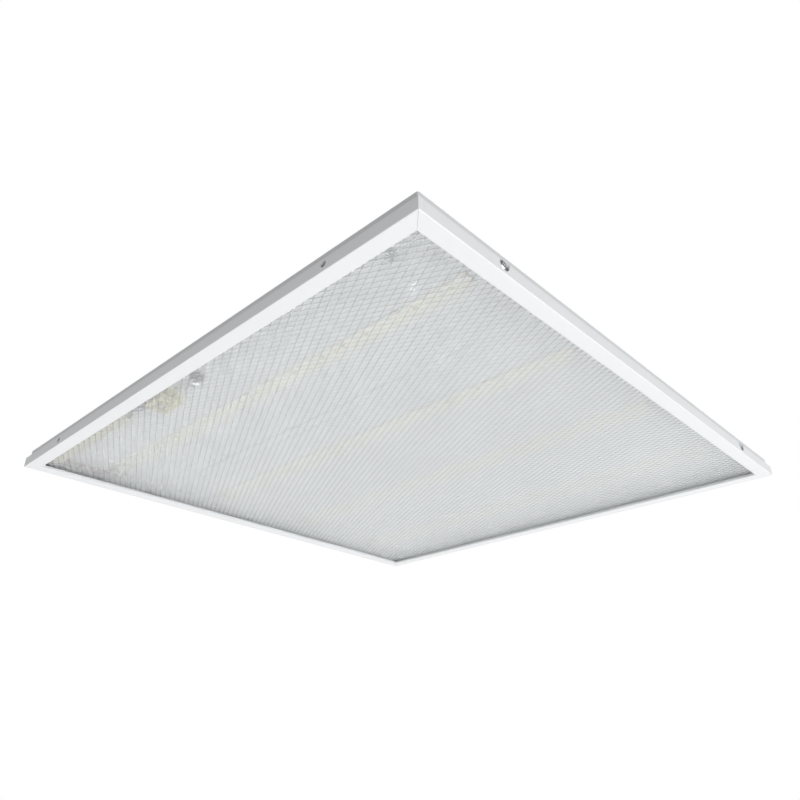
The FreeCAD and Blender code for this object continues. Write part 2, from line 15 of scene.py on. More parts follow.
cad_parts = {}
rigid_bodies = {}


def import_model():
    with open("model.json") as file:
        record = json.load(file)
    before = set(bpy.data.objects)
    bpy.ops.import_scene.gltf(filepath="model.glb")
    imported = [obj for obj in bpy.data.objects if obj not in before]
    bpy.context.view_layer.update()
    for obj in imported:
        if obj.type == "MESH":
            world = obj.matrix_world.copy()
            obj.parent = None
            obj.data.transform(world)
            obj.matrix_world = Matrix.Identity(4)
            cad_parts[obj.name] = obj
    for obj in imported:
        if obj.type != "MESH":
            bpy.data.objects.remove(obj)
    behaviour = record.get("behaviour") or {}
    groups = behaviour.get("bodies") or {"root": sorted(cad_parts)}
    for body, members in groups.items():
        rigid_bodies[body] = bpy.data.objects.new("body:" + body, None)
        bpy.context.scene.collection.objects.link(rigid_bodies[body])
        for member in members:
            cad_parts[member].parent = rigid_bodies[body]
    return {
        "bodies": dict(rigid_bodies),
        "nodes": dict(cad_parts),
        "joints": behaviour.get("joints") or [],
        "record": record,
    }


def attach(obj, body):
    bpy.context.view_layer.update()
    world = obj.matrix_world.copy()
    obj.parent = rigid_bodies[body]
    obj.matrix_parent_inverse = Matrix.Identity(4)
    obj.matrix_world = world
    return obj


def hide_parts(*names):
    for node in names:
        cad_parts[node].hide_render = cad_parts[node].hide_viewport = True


LOG = logging.getLogger("panel_light")
MM = 0.001
SHARP = 35
ROUTE_DETAIL = 10
Point = tuple[float, float]
Colour = tuple[float, float, float]
Piece = bpy.types.Object
Material = bpy.types.Material


class Plane(Enum):
    """Plane that an outline is drawn on; its depth runs square to it."""

    FLAT = "outline in x and y, depth along z"
    FRONT = "outline in x and z, depth along y"
    SIDE = "outline in y and z, depth along x"

    def spot(self, u: float, v: float, depth: float) -> tuple[float, float, float]:
        """Place of an outline point at a depth, in millimetres."""
        if self is Plane.FLAT:
            return (u, v, depth)
        return (u, depth, v) if self is Plane.FRONT else (depth, u, v)


class Body(Enum):
    """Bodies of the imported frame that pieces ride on."""

    HOUSING = "housing"
    COVER = "bezel_cover"
    SCREW_1 = "side_screw_1"
    SCREW_2 = "side_screw_2"
    SCREW_3 = "side_screw_3"
    SCREW_4 = "side_screw_4"


# Outlines


def circle(x: float, y: float, radius: float, steps: int = 24) -> list[Point]:
    """Points round a circle."""
    return [(x + radius * math.cos(math.tau * (i / steps)),
             y + radius * math.sin(math.tau * (i / steps))) for i in range(steps)]


def block(x0: float, y0: float, x1: float, y1: float) -> list[Point]:
    """Corners of a rectangle."""
    return [(x0, y0), (x1, y0), (x1, y1), (x0, y1)]


def soft_block(x0: float, y0: float, x1: float, y1: float, radius: float,
               steps: int = 4) -> list[Point]:
    """Rectangle with round corners.

    Args:
        x0, y0, x1, y1: opposite corners.
        radius: corner radius.
        steps: straight pieces in each corner.

    Returns:
        The outline's points, the same number for any size.
    """
    centres = ((x1 - radius, y1 - radius, 0), (x0 + radius, y1 - radius, 1),
               (x0 + radius, y0 + radius, 2), (x1 - radius, y0 + radius, 3))
    return [(x + radius * math.cos(math.pi / 2 * (turn + i / steps)),
             y + radius * math.sin(math.pi / 2 * (turn + i / steps)))
            for x, y, turn in centres for i in range(steps + 1)]


def arc(x: float, y: float, radius: float, start: float, end: float, steps: int) -> list[Point]:
    """Points along an arc between two angles in degrees, both ends included."""
    return [(x + radius * math.cos(math.radians(start + (end - start) * i / steps)),
             y + radius * math.sin(math.radians(start + (end - start) * i / steps)))
            for i in range(steps + 1)]


# Meshes


def placed(name: str, data: bpy.types.ID) -> Piece:
    """New object in the scene that holds some data."""
    made = bpy.data.objects.new(name, data)
    bpy.context.scene.collection.objects.link(made)
    return made


def shift(x: float, y: float, z: float = 0) -> Matrix:
    """Matrix of a shift that is given in millimetres."""
    return Matrix.Translation(Vector((x, y, z)) * MM)


def shade(mesh: bpy.types.Mesh, angle: float = SHARP) -> None:
    """Smooth shading with edges above an angle kept sharp."""
    mesh.polygons.foreach_set("use_smooth", [True] * len(mesh.polygons))
    mesh.set_sharp_from_angle(angle=math.radians(angle))


def settle(piece: Piece) -> Piece:
    """Bakes a piece's modifiers into its mesh and removes them."""
    bpy.context.view_layer.update()
    graph = bpy.context.evaluated_depsgraph_get()
    fresh = bpy.data.meshes.new_from_object(
        piece.evaluated_get(graph), preserve_all_data_layers=True, depsgraph=graph)
    fresh.name = piece.name
    piece.modifiers.clear()
    piece.data = fresh
    return piece


def modified(piece: Piece, kind: str, **options: Any) -> Piece:
    """Runs one modifier over a piece and bakes it in."""
    modifier = piece.modifiers.new(kind, kind)
    for name, value in options.items():
        setattr(modifier, name, value)
    return settle(piece)


class Solid:
    """Closed mesh under construction, drawn in millimetres."""

    def __init__(self) -> None:
        """Starts an empty mesh."""
        self.mesh = bmesh.new()

    def ring(self, points: Iterable[Sequence[float]]) -> list[bmesh.types.BMVert]:
        """Adds a ring of points."""
        return [self.mesh.verts.new(Vector(point) * MM) for point in points]

    def band(self, first: list, second: list) -> None:
        """Joins two rings of equal length by faces; a ring of one point makes a fan."""
        count = max(len(first), len(second))
        for i in range(count):
            j = (i + 1) % count
            corners = ([first[i], first[j]] if len(first) > 1 else [first[0]])
            corners += [second[j], second[i]] if len(second) > 1 else [second[0]]
            self.mesh.faces.new(corners)

    def cap(self, *rings: list) -> None:
        """Fills a ring, leaving the other rings as holes in it."""
        if len(rings) == 1:
            self.mesh.faces.new(rings[0])
            return
        every = [vert for ring in rings for vert in ring]
        for corner in tessellate_polygon([[vert.co for vert in ring] for ring in rings]):
            if len(set(corner)) == 3:
                self.mesh.faces.new([every[i] for i in corner])

    def stack(self, rings: Sequence[list], capped: bool = True) -> "Solid":
        """Joins rings one after another, and closes both ends where capped."""
        for first, second in zip(rings, rings[1:]):
            self.band(first, second)
        for ring in (rings[0], rings[-1]) if capped else ():
            self.cap(ring)
        return self
    def plate(self, plane: Plane, outline: Sequence[Point], low: float, high: float,
              holes: Sequence[Sequence[Point]] = ()) -> "Solid":
        """Adds a flat plate with straight edges.

        Args:
            plane: plane of the outline.
            outline: outer edge.
            low, high: depths of its two faces.
            holes: inner edges.

        Returns:
            This solid.
        """
        loops = (outline, *holes)
        faces = [[self.ring(plane.spot(u, v, depth) for u, v in loop) for loop in loops]
                 for depth in (low, high)]
        for first, second in zip(*faces):
            self.band(first, second)
        self.cap(*faces[0])
        self.cap(*faces[1])
        return self

    def lathe(self, plane: Plane, centre: Point, profile: Sequence[Point], steps: int = 32,
              closed: bool = False) -> "Solid":
        """Adds a turned form.

        Args:
            plane: plane that the turning happens in.
            centre: its axis in that plane.
            profile: radius and depth of each ring; a radius of 0 is a pole.
            steps: points in a ring.
            closed: whether the profile is a closed outline off the axis.

        Returns:
            This solid.
        """
        rings = []
        for radius, depth in profile:
            spots = circle(*centre, radius, steps) if radius > 0 else [centre]
            rings.append(self.ring(plane.spot(u, v, depth) for u, v in spots))
        return self.stack(rings + rings[:1] if closed else rings, capped=False)

    def tube(self, path: Sequence[Vector], radius: float, sides: int = 12) -> "Solid":
        """Adds a round rod along a path, with a UV map that runs along and round it.

        Args:
            path: points of its middle line, in metres.
            radius: its radius in millimetres.
            sides: points round it.

        Returns:
            This solid.
        """
        layer = self.mesh.loops.layers.uv.verify()
        side, run, rings = Vector((0, 0, 1)), 0.0, []
        for index, spot in enumerate(path):
            ahead = path[min(index + 1, len(path) - 1)] - path[max(index - 1, 0)]
            side = (side - ahead.normalized() * side.dot(ahead.normalized())).normalized()
            other = ahead.normalized().cross(side)
            run += (spot - path[index - 1]).length if index else 0
            rings.append((run, [self.mesh.verts.new(
                spot + (side * math.cos(math.tau * i / sides)
                        + other * math.sin(math.tau * i / sides)) * radius * MM)
                for i in range(sides)]))
        for (start, first), (end, second) in zip(rings, rings[1:]):
            for i in range(sides):
                j = (i + 1) % sides
                face = self.mesh.faces.new((first[i], first[j], second[j], second[i]))
                spots = ((start, i), (start, i + 1), (end, i + 1), (end, i))
                for loop, (along, turn) in zip(face.loops, spots):
                    loop[layer].uv = (along, turn / sides)
        self.mesh.faces.new(rings[0][1])
        self.mesh.faces.new(rings[-1][1])
        return self

    def turned(self, quarter: int) -> "Solid":
        """Turns what is there by quarter turns about the light's middle."""
        self.mesh.transform(Matrix.Rotation(math.pi / 2 * quarter, 4, "Z"))
        return self

    def made(self, name: str, material: Material | None = None, angle: float = SHARP) -> Piece:
        """Turns the mesh into an object with outward faces.

        Args:
            name: the object's name.
            material: its finish.
            angle: edges above it stay sharp.

        Returns:
            The new object, at the origin.
        """
        bmesh.ops.remove_doubles(self.mesh, verts=self.mesh.verts, dist=1e-7)
        bmesh.ops.recalc_face_normals(self.mesh, faces=self.mesh.faces)
        data = bpy.data.meshes.new(name)
        self.mesh.to_mesh(data)
        self.mesh.free()
        shade(data, angle)
        if material is not None:
            data.materials.append(material)
        return placed(name, data)


def carve(piece: Piece, tool: Solid, operation: str = "DIFFERENCE") -> Piece:
    """Cuts or joins another solid into a piece."""
    other = tool.made("tool")
    modified(piece, "BOOLEAN", object=other, operation=operation, solver="EXACT")
    bpy.data.objects.remove(other)
    shade(piece.data)
    return piece


def soften(piece: Piece, width: float, segments: int = 2) -> Piece:
    """Rounds a piece's sharp edges by a width in millimetres."""
    shade(piece.data)
    return modified(piece, "BEVEL", width=width * MM, segments=segments, limit_method="ANGLE",
                    angle_limit=math.radians(SHARP), harden_normals=True)


def even(piece: Piece) -> Piece:
    """Keeps a sheet's broad faces flat beside its bends."""
    return modified(piece, "WEIGHTED_NORMAL", keep_sharp=True)


def wire_path(points: Sequence[Sequence[float]]) -> list[Vector]:
    """Points along the smooth spline that a lead's route controls.

    Args:
        points: the route in millimetres.

    Returns:
        The spline's points in metres.
    """
    curve = bpy.data.curves.new("route", "CURVE")
    curve.dimensions = "3D"
    curve.resolution_u = ROUTE_DETAIL
    spline = curve.splines.new("NURBS")
    spline.points.add(len(points) - 1)
    for spot, place in zip(spline.points, points):
        spot.co = (*(Vector(place) * MM), 1)
    spline.order_u = 3
    spline.use_endpoint_u = True
    carrier = placed("route", curve)
    bpy.context.view_layer.update()
    graph = bpy.context.evaluated_depsgraph_get()
    mesh = bpy.data.meshes.new_from_object(carrier.evaluated_get(graph))
    path = [vert.co.copy() for vert in mesh.vertices]
    bpy.data.objects.remove(carrier)
    bpy.data.meshes.remove(mesh)
    return path


# Node graphs


def operator(operation: str) -> Callable[..., "Signal"]:
    """Method that puts a Math node of one kind after a signal."""

    def method(self: "Signal", other: Any = 0.0) -> "Signal":
        """The node's result."""
        return self.graph.node("ShaderNodeMath", {"operation": operation}, {0: self, 1: other})

    return method


class Signal:
    """A node's output that takes part in Python arithmetic."""

    def __init__(self, graph: "Graph", socket: bpy.types.NodeSocket) -> None:
        """Wraps a socket of a graph."""
        self.graph, self.socket = graph, socket

    __add__ = __radd__ = operator("ADD")
    __mul__ = __rmul__ = operator("MULTIPLY")
    __sub__ = operator("SUBTRACT")
    __truediv__ = operator("DIVIDE")
    __mod__ = operator("FLOORED_MODULO")
    __gt__ = operator("GREATER_THAN")
    larger = operator("MAXIMUM")
    rounded = operator("ROUND")


class Graph:
    """Node tree that is filled by one method."""

    def __init__(self, tree: bpy.types.NodeTree) -> None:
        """Starts on an empty tree."""
        self.tree = tree

    def node(self, kind: str, settings: dict[str, Any] | None = None,
             sockets: dict[int | str, Any] | None = None, output: int | str = 0) -> Signal:
        """Adds any node.

        Args:
            kind: the node's type.
            settings: its options, set before its sockets.
            sockets: value or Signal of each input, by name or number.
            output: the output to return.

        Returns:
            The chosen output.
        """
        made = self.tree.nodes.new(kind)
        for key, value in (settings or {}).items():
            setattr(made, key, value)
        for key, value in (sockets or {}).items():
            if isinstance(value, Signal):
                self.tree.links.new(value.socket, made.inputs[key])
            else:
                made.inputs[key].default_value = value
        return Signal(self, made.outputs[output] if made.outputs else made.inputs[0])


class Paint(Graph):
    """Shader graph of one material, with the patterns the finishes share."""

    def __init__(self, name: str) -> None:
        """Starts a material with an empty graph."""
        self.material = bpy.data.materials.new(name)
        self.material.use_nodes = True
        self.material.node_tree.nodes.clear()
        super().__init__(self.material.node_tree)
        self.place = self.node("ShaderNodeTexCoord", output="Object")

    def stretched(self, x: float, y: float, z: float) -> Signal:
        """Object coordinates scaled along each axis."""
        return self.node("ShaderNodeMapping", {}, {"Vector": self.place, "Scale": (x, y, z)})

    def noise(self, scale: float, detail: float = 2, where: Signal | None = None) -> Signal:
        """Soft noise from 0 to 1, with a scale in waves to the metre."""
        return self.node("ShaderNodeTexNoise", {}, {
            "Vector": where or self.place, "Scale": scale, "Detail": detail})

    def mixed(self, factor: Any, first: Colour | Signal, second: Colour | Signal) -> Signal:
        """Colour between two others."""
        ends = [(*c, 1) if isinstance(c, tuple) else c for c in (first, second)]
        return self.node("ShaderNodeMix", {"data_type": "RGBA"},
                         {0: factor, 6: ends[0], 7: ends[1]}, output=2)

    def mottled(self, scale: float, colour: Colour, share: float, detail: float = 3) -> Signal:
        """Colour that drifts softly down to a darker share of itself."""
        dark = tuple(part * share for part in colour)
        return self.mixed(self.noise(scale, detail), dark, colour)

    def relief(self, height: Signal, depth: float) -> Signal:
        """Bump from a height, with a depth in millimetres."""
        return self.node("ShaderNodeBump", {}, {"Height": height, "Distance": depth * MM})

    def close(self, sockets: dict[str, Any], clear: float = 0) -> Material:
        """Ends the graph in one Principled shader.

        Args:
            sockets: its inputs by name.
            clear: share of light that passes straight through.

        Returns:
            The finished material.
        """
        shader = self.node("ShaderNodeBsdfPrincipled", {}, sockets)
        if clear:
            straight = self.node("ShaderNodeBsdfTransparent", {}, {"Color": (1, 1, 1, 1)})
            shader = self.node("ShaderNodeMixShader", {}, {0: 1 - clear, 1: straight, 2: shader})
        self.node("ShaderNodeOutputMaterial", {}, {"Surface": shader})
        return self.material


@dataclass(frozen=True)
class PowderCoat:
    """Baked powder coat: fine orange peel over sheet steel, with painted shade on the walls beyond an
    outer distance where one is given.
    """

    name: str
    colour: Colour = (0.79, 0.80, 0.81)
    gloss: float = 0.42
    # Painted shade: walls farther than this from the middle, in metres, are darkened to the share
    # below.
    outer: float = 0.0
    painted_shade_share: float = 0.80

    def material(self) -> Material:
        """The finish as a material; walls beyond the outer distance carry painted shade, a darker
        share of the colour.
        """
        paint = Paint(self.name)
        coat = paint.mottled(9, self.colour, 0.965)
        # Painted shade: a mask of distance from the middle darkens the outer walls.
        if self.outer:
            reach = paint.node("ShaderNodeVectorMath", {"operation": "ABSOLUTE"}, {0: paint.place})
            across, along = (paint.node("ShaderNodeSeparateXYZ", {}, {0: reach}, output=name)
                             for name in "XY")
            dark = tuple(part * self.painted_shade_share for part in self.colour)
            coat = paint.mixed(across.larger(along) > self.outer, coat, dark)
        return paint.close({
            "Base Color": coat,
            "Roughness": self.gloss + paint.noise(60, 2) * 0.1,
            "Coat Weight": 0.15, "Coat Roughness": 0.3,
            "Normal": paint.relief(paint.noise(900, 2), 0.012)})


@dataclass(frozen=True)
class Plating:
    """Bright plated or turned metal with fine scratches."""

    name: str
    colour: Colour
    tint: Colour
    roughness: float = 0.24

    def material(self) -> Material:
        """The finish as a material."""
        paint = Paint(self.name)
        scratch = paint.noise(500, 4, paint.stretched(1, 6, 1))
        return paint.close({
            "Base Color": paint.mixed(paint.noise(220, 3), self.colour, self.tint),
            "Metallic": 1.0,
            "Roughness": self.roughness + scratch * 0.16,
            "Normal": paint.relief(scratch, 0.01)})


@dataclass(frozen=True)
class Moulding:
    """Moulded plastic with a fine spark texture."""

    name: str
    colour: Colour
    roughness: float = 0.42
    grain: float = 1600
    depth: float = 0.02

    def material(self) -> Material:
        """The finish as a material."""
        paint = Paint(self.name)
        pits = paint.node("ShaderNodeTexVoronoi", {}, {"Vector": paint.place, "Scale": self.grain})
        return paint.close({
            "Base Color": paint.mottled(45, self.colour, 0.93),
            "Roughness": self.roughness + paint.noise(300, 2) * 0.14,
            "Normal": paint.relief(pits, self.depth)})


@dataclass(frozen=True)
class Insulation:
    """Lead insulation, with a second colour in bands along it where it has one."""

    name: str
    colour: Colour
    band: Colour | None = None

    def material(self) -> Material:
        """The finish as a material."""
        paint = Paint(self.name)
        colour = paint.mottled(160, self.colour, 0.85, 2)
        if self.band is not None:
            around = paint.node("ShaderNodeSeparateXYZ", {}, {
                0: paint.node("ShaderNodeTexCoord", output="UV")}, output="Y")
            colour = paint.mixed((around * 2 % 1.0) > 0.6, colour, self.band)
        return paint.close({
            "Base Color": colour,
            "Roughness": 0.3 + paint.noise(400, 2) * 0.15,
            "Normal": paint.relief(paint.noise(1500, 2), 0.01)})


@dataclass(frozen=True)
class Lacquer:
    """Cream lacquer over a board's copper tracks."""

    name: str
    colour: Colour = (0.93, 0.91, 0.82)

    def material(self) -> Material:
        """The finish as a material."""
        paint = Paint(self.name)
        tracks = paint.node("ShaderNodeTexBrick", {"offset": 0.5}, {
            "Vector": paint.place, "Color1": (1, 1, 1, 1), "Color2": (1, 1, 1, 1),
            "Mortar": (0, 0, 0, 1), "Scale": 1.0, "Mortar Size": 0.0004,
            "Mortar Smooth": 0.3, "Brick Width": 0.0045, "Row Height": 0.0183}, output="Fac")
        dark = tuple(part * 0.9 for part in self.colour)
        return paint.close({
            "Base Color": paint.mixed(tracks * 0.5, self.colour, dark),
            "Roughness": 0.34 + paint.noise(120, 2) * 0.12,
            "Normal": paint.relief(tracks + paint.noise(700, 2) * 0.3, 0.03)})


@dataclass(frozen=True)
class Phosphor:
    """Yellow phosphor gel of an unlit LED."""

    name: str
    colour: Colour = (0.92, 0.66, 0.13)

    def material(self) -> Material:
        """The finish as a material."""
        paint = Paint(self.name)
        pale = (0.96, 0.80, 0.34)
        return paint.close({
            "Base Color": paint.mixed(paint.noise(2600, 3), self.colour, pale),
            "Roughness": 0.18 + paint.noise(900, 2) * 0.12,
            "Coat Weight": 0.4,
            "Normal": paint.relief(paint.noise(3000, 2), 0.008)})


@dataclass(frozen=True)
class ClearPrism:
    """Clear acrylic with a faint blue cast and moulding haze."""

    name: str
    colour: Colour = (0.955, 0.98, 0.99)
    clear: float = 0.36

    def material(self) -> Material:
        """The finish as a material."""
        paint = Paint(self.name)
        haze = paint.noise(30, 3)
        pale = tuple(min(1, part * 1.02) for part in self.colour)
        return paint.close({
            "Base Color": paint.mixed(haze, self.colour, pale),
            "Roughness": 0.02 + paint.noise(90, 2) * 0.06,
            "Transmission Weight": 1.0, "IOR": 1.49,
            "Normal": paint.relief(paint.noise(500, 2), 0.006)}, clear=self.clear)


class Finishes:
    """Every finish of the light, made once."""

    def __init__(self) -> None:
        """Makes the materials."""
        kinds = (
            PowderCoat("white_powder"),
            # The tray's outer walls carry painted shade.
            PowderCoat("tray_powder", (0.84, 0.85, 0.86), outer=0.2942),
            Plating("zinc", (0.80, 0.82, 0.84), (0.70, 0.72, 0.74), 0.3),
            Plating("brass", (0.80, 0.62, 0.30), (0.66, 0.48, 0.22), 0.3),
            ClearPrism("lens"),
            Lacquer("board"),
            Phosphor("phosphor"),
            Moulding("package", (0.92, 0.92, 0.90), 0.5, 2600, 0.008),
            Moulding("white_nylon", (0.84, 0.84, 0.81), 0.38),
            Moulding("driver_shell", (0.74, 0.71, 0.62), 0.52, 1300, 0.03),
            Moulding("block_shell", (0.80, 0.75, 0.60), 0.4),
            Moulding("seal", (0.035, 0.035, 0.037), 0.62, 1800, 0.03),
            Insulation("white_lead", (0.86, 0.86, 0.85)),
            Insulation("red_lead", (0.42, 0.10, 0.08)),
            Insulation("black_lead", (0.022, 0.022, 0.025)),
            Insulation("brown_lead", (0.17, 0.065, 0.03)),
            Insulation("blue_lead", (0.07, 0.13, 0.34)),
            Insulation("earth_cover", (0.10, 0.38, 0.05), (0.86, 0.74, 0.05)))
        self.every = {kind.name: kind.material() for kind in kinds}

    def __getitem__(self, name: str) -> Material:
        """A finish by its name."""
        return self.every[name]


class Repeat(Graph):
    """Geometry Nodes tree that sets copies of an item on a grid and welds them."""

    SIZES = (("Item", "NodeSocketObject"), ("Columns", "NodeSocketInt"), ("Rows", "NodeSocketInt"),
             ("Step X", "NodeSocketFloat"), ("Step Y", "NodeSocketFloat"),
             ("Stagger", "NodeSocketFloat"), ("Middle", "NodeSocketVector"),
             ("Weld", "NodeSocketFloat"), ("Finish", "NodeSocketMaterial"))

    def __init__(self) -> None:
        """Builds the tree."""
        super().__init__(bpy.data.node_groups.new("repeat_on_grid", "GeometryNodeTree"))
        self.names: dict[str, str] = {}
        for name, kind in self.SIZES:
            made = self.tree.interface.new_socket(name, in_out="INPUT", socket_type=kind)
            self.names[name] = made.identifier
        self.tree.interface.new_socket("Geometry", in_out="OUTPUT",
                                       socket_type="NodeSocketGeometry")
        given = self.tree.nodes.new("NodeGroupInput")
        take = {name: Signal(self, given.outputs[name]) for name, _ in self.SIZES}
        grid = self.node("GeometryNodeMeshGrid", {}, {
            "Size X": take["Step X"] * (take["Columns"] - 1.0),
            "Size Y": take["Step Y"] * (take["Rows"] - 1.0),
            "Vertices X": take["Columns"], "Vertices Y": take["Rows"]})
        height = self.node("ShaderNodeSeparateXYZ", {}, {
            0: self.node("GeometryNodeInputPosition")}, output="Y")
        row = (height / take["Step Y"] + (take["Rows"] - 1.0) / 2.0).rounded()
        shift = self.node("ShaderNodeCombineXYZ", {}, {"X": row % 2.0 * take["Stagger"]})
        offset = self.node("ShaderNodeVectorMath", {"operation": "ADD"},
                           {0: shift, 1: take["Middle"]})
        spots = self.node("GeometryNodeSetPosition", {}, {"Geometry": grid, "Offset": offset})
        item = self.node("GeometryNodeObjectInfo", {}, {"Object": take["Item"]}, output="Geometry")
        copies = self.node("GeometryNodeInstanceOnPoints", {}, {"Points": spots, "Instance": item})
        solid = self.node("GeometryNodeRealizeInstances", {}, {"Geometry": copies})
        welded = self.node("GeometryNodeMergeByDistance", {}, {
            "Geometry": solid, "Distance": take["Weld"]})
        dressed = self.node("GeometryNodeSetMaterial", {}, {
            "Geometry": welded, "Material": take["Finish"]})
        self.node("NodeGroupOutput", {}, {"Geometry": dressed})

    def run(self, name: str, item: Piece, counts: tuple[int, int], steps: Point,
            middle: Sequence[float], finish: Material, stagger: float = 0,
            weld: float = 0.0005) -> Piece:
        """Repeats an item and returns the result as a plain mesh.

        Args:
            name: the new object's name.
            item: what is repeated, drawn round the origin; it is used up.
            counts: copies along X and along Y.
            steps: distances between copies, in millimetres.
            middle: the grid's middle, in millimetres.
            finish: the material.
            stagger: shift of every other row, in millimetres.
            weld: points nearer than this are merged, in millimetres.

        Returns:
            The new object.
        """
        carrier = placed(name, bpy.data.meshes.new(name))
        modifier = carrier.modifiers.new("repeat", "NODES")
        modifier.node_group = self.tree
        values = {"Item": item, "Columns": counts[0], "Rows": counts[1],
                  "Step X": steps[0] * MM, "Step Y": steps[1] * MM, "Stagger": stagger * MM,
                  "Middle": tuple(Vector(middle) * MM), "Weld": weld * MM, "Finish": finish}
        for key, value in values.items():
            modifier[self.names[key]] = value
        settle(carrier)
        bpy.data.objects.remove(item)
        shade(carrier.data)
        return carrier


# The light


@dataclass
class Sizes:
    """Sizes that several sub-assemblies share, in millimetres."""

    half: float = 297.5
    bezel: float = 14
    skin: float = 1.2
    rise: float = 10.8
    seat: float = 3
    web_out: float = 3.75
    web_rise: float = 12.4
    depth: float = 19
    roof: float = 18.4
    fix_reach: float = 210
    screw_level: float = 8.6
    hole: float = 2.75
    hole_level: float = 6.2
    strip_step: float = 410 / 3
    strip_half: float = 265
    chip_step: float = 494 / 27
    board_low: float = 17.4
    entry_x: float = -262
    cable_y: float = 6
    clamp_y: float = 32
    clamp_reach: float = 9
    block_y: float = 65
    driver_x: float = -278.8
    driver_start: float = 112
    driver_end: float = 278
    driver_ear: float = 5

    @property
    def rivet_reach(self) -> float:
        """Reach of the outer rivets from the middle of a strip."""
        return self.chip_step * 13


class Workshop:
    """What every sub-assembly needs: the frame, the finishes, the repeater and the sizes."""

    def __init__(self, frame: dict[str, Any]) -> None:
        """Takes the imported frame."""
        self.frame = frame
        self.finish = Finishes()
        self.repeat = Repeat()
        self.sizes = Sizes()

    def add(self, piece: Piece, slot: str, *nodes: str, body: Body = Body.HOUSING) -> None:
        """Hands a finished piece over to the frame.

        Args:
            piece: the piece.
            slot: the record's finish that it has.
            nodes: CAD nodes that it stands for.
            body: what it moves with.
        """
        if not piece.data.materials or piece.data.materials[0] is None:
            piece.data.materials.clear()
            piece.data.materials.append(self.finish[slot])
        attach(piece, body.value)
        if nodes:
            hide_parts(*nodes)
        LOG.info("%s: %d faces on %s", piece.name, len(piece.data.polygons), body.value)

    def scatter(self, name: str, item: Piece, counts: tuple[int, int], steps: Point,
                middle: Sequence[float], slot: str, *nodes: str, finish: str = "") -> None:
        """Sets copies of an item on a grid and hands them over as one fixed piece.

        Args:
            name, item, counts, steps, middle: as the repeater takes them.
            slot, nodes: as for any piece.
            finish: what it shows, where that isn't the slot's own.
        """
        piece = self.repeat.run(name, item, counts, steps, middle, self.finish[finish or slot])
        self.add(piece, slot, *nodes)

    def dress(self, finish: str, *nodes: str) -> None:
        """Gives CAD nodes that stay a finish."""
        for name in nodes:
            node = self.frame["nodes"][name]
            node.data.materials.clear()
            node.data.materials.append(self.finish[finish])
            LOG.info("%s: keeps its shape, %s", name, finish)


@dataclass
class Bezel:
    """Four mitred channel rails and the keys inside their corners."""

    shop: Workshop
    mitre_gap: float = 0.22
    notch: float = 5.5
    slot: float = 2.3
    tab: float = 5

    def section(self) -> list[Point]:
        """Rail section as distance from the outer face and height."""
        size = self.shop.sizes
        skin, web = size.skin, size.web_out
        return [
            *arc(0.7, 0.7, 0.7, 180, 270, 4),
            *arc(size.bezel - 0.5, 0.5, 0.5, 270, 360, 4),
            *arc(size.bezel - 0.3, size.seat - 0.3, 0.3, 0, 90, 2),
            (size.bezel - skin, size.seat), (size.bezel - skin, skin),
            (web + skin, skin), (web + skin, size.web_rise - 0.3),
            (web + skin - 0.3, size.web_rise), (web + 0.3, size.web_rise),
            (web, size.web_rise - 0.3), (web, skin), (skin, skin),
            *arc(skin - 0.3, size.rise - 0.3, 0.3, 0, 90, 2),
            *arc(0.3, size.rise - 0.3, 0.3, 90, 180, 2)]

    def cradle(self, x: float, level: float, radius: float, top: float) -> list[Point]:
        """U outline, open at the top."""
        return [(x + radius, top), (x - radius, top), *arc(x, level, radius, 180, 360, 16)]

    def rail(self, slotted: bool) -> tuple[Solid, Solid, Solid]:
        """Bare rail, what is cut from it, and its end tabs, drawn as the front one."""
        size, bar, cut, tabs = self.shop.sizes, Solid(), Solid(), Solid()
        face, top, skin = -size.half, size.web_rise + 1, size.skin
        web = face + size.web_out
        bar.stack([bar.ring((side * (size.half - u - self.mitre_gap / 2), u - size.half, z)
                            for u, z in self.section()) for side in (-1, 1)])
        for side in (-1, 1):
            spot = side * size.fix_reach
            if slotted:
                wide, slim = (self.cradle(spot, size.screw_level, radius, top)
                              for radius in (self.notch, self.slot))
                cut.plate(Plane.FRONT, wide, face - 1, face + skin + 0.5)
                cut.plate(Plane.FRONT, slim, web - 0.5, web + skin + 0.5)
                ends = sorted((side * (size.half - self.tab - 0.1), side * (size.half + 1)))
                cut.plate(Plane.FRONT, block(ends[0], skin, ends[1], top), face - 1, face + skin)
            else:
                hole = circle(spot, size.hole_level, size.hole, 28)
                cut.plate(Plane.FRONT, hole, face - 1, web + 3)
                ends = sorted((side * (size.half - skin), side * size.half))
                tabs.plate(Plane.FRONT, block(ends[0], skin - 0.2, ends[1], size.rise),
                           face + 0.001, face + self.tab)
        return bar, cut, tabs

    def build(self) -> None:
        """Builds the four rails and dresses the keys."""
        rails = (("front", 0, True), ("right", 1, False), ("rear", 2, True), ("left", 3, False))
        for name, quarter, slotted in rails:
            bar, cut, tabs = self.rail(slotted)
            piece = carve(bar.turned(quarter).made(f"{name}_rail"), cut.turned(quarter))
            if not slotted:
                carve(piece, tabs.turned(quarter), "UNION")
            self.shop.add(even(piece), "white_powder", f"bezel_rail_{name}", body=Body.COVER)
        self.shop.dress("zinc", *(f"corner_key_{number}" for number in range(1, 5)))


